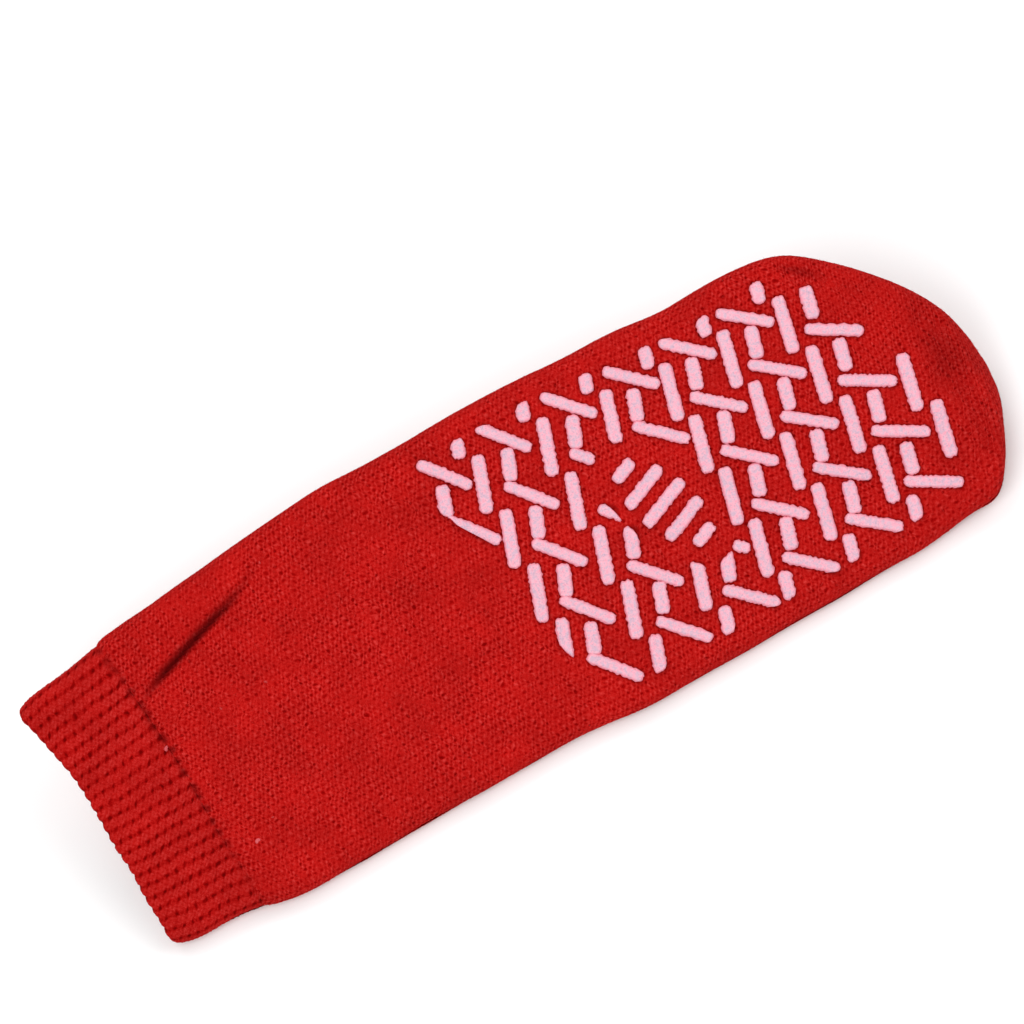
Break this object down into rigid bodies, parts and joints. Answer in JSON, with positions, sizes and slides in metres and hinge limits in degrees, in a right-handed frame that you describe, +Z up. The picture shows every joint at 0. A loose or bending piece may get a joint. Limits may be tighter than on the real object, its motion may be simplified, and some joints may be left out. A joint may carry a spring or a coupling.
{
  "type": "slipper sock",
  "caption": "Knitted tube slipper sock with a rib cuff, a linked toe and a raised grip print on the sole, lying slack on its side.",
  "frame": {"origin": "on the floor under the middle of the sock's bounding box", "axes": "+X along the sock from cuff to toe, +Z up; the grip sole faces -Y and up"},
  "size_m": [0.3258, 0.1018, 0.0584],
  "materials": {
    "terry_knit": "matte red terry-lined stockinette knit",
    "rib_knit": "matte red elastic mock rib knit",
    "linking_yarn": "matte red linked yarn",
    "grip_print": "pale pink foamed grip print, slightly mottled"
  },
  "bodies": {
    "root": {"chain_1_1": "grip_print", "chain_1_2": "grip_print", "chain_2_1": "grip_print", "chain_3_1": "grip_print", "chain_3_3": "grip_print", "chain_3_4": "grip_print", "chain_4_1": "grip_print", "chain_4_2": "grip_print", "chain_4_4": "grip_print", "chain_5_1": "grip_print", "chain_6_1": "grip_print", "chain_7_1": "grip_print", "knit_body": "terry_knit", "long_bar_1_1": "grip_print", "long_bar_1_2": "grip_print", "long_bar_1_3": "grip_print", "long_bar_1_4": "grip_print", "long_bar_1_5": "grip_print", "long_bar_2_1": "grip_print", "long_bar_2_2": "grip_print", "long_bar_2_3": "grip_print", "long_bar_2_4": "grip_print", "long_bar_2_5": "grip_print", "long_bar_2_6": "grip_print", "long_bar_3_1": "grip_print", "long_bar_3_2": "grip_print", "long_bar_3_5": "grip_print", "long_bar_3_6": "grip_print", "long_bar_4_1": "grip_print", "long_bar_4_2": "grip_print", "long_bar_4_3": "grip_print", "long_bar_4_4": "grip_print", "long_bar_4_5": "grip_print", "long_bar_4_6": "grip_print", "long_bar_5_1": "grip_print", "long_bar_5_2": "grip_print", "long_bar_5_3": "grip_print", "long_bar_5_4": "grip_print", "long_bar_5_5": "grip_print", "long_bar_5_6": "grip_print", "long_bar_6_1": "grip_print", "long_bar_6_2": "grip_print", "long_bar_6_3": "grip_print", "long_bar_6_4": "grip_print", "long_bar_6_5": "grip_print", "long_bar_6_6": "grip_print", "long_bar_7_1": "grip_print", "long_bar_7_2": "grip_print", "oval_rib_1": "grip_print", "oval_rib_2": "grip_print", "oval_rib_3": "grip_print", "oval_rib_4": "grip_print", "oval_rib_5": "grip_print", "rib_cuff": "rib_knit", "toe_seam": "linking_yarn"}
  },
  "joints": []
}
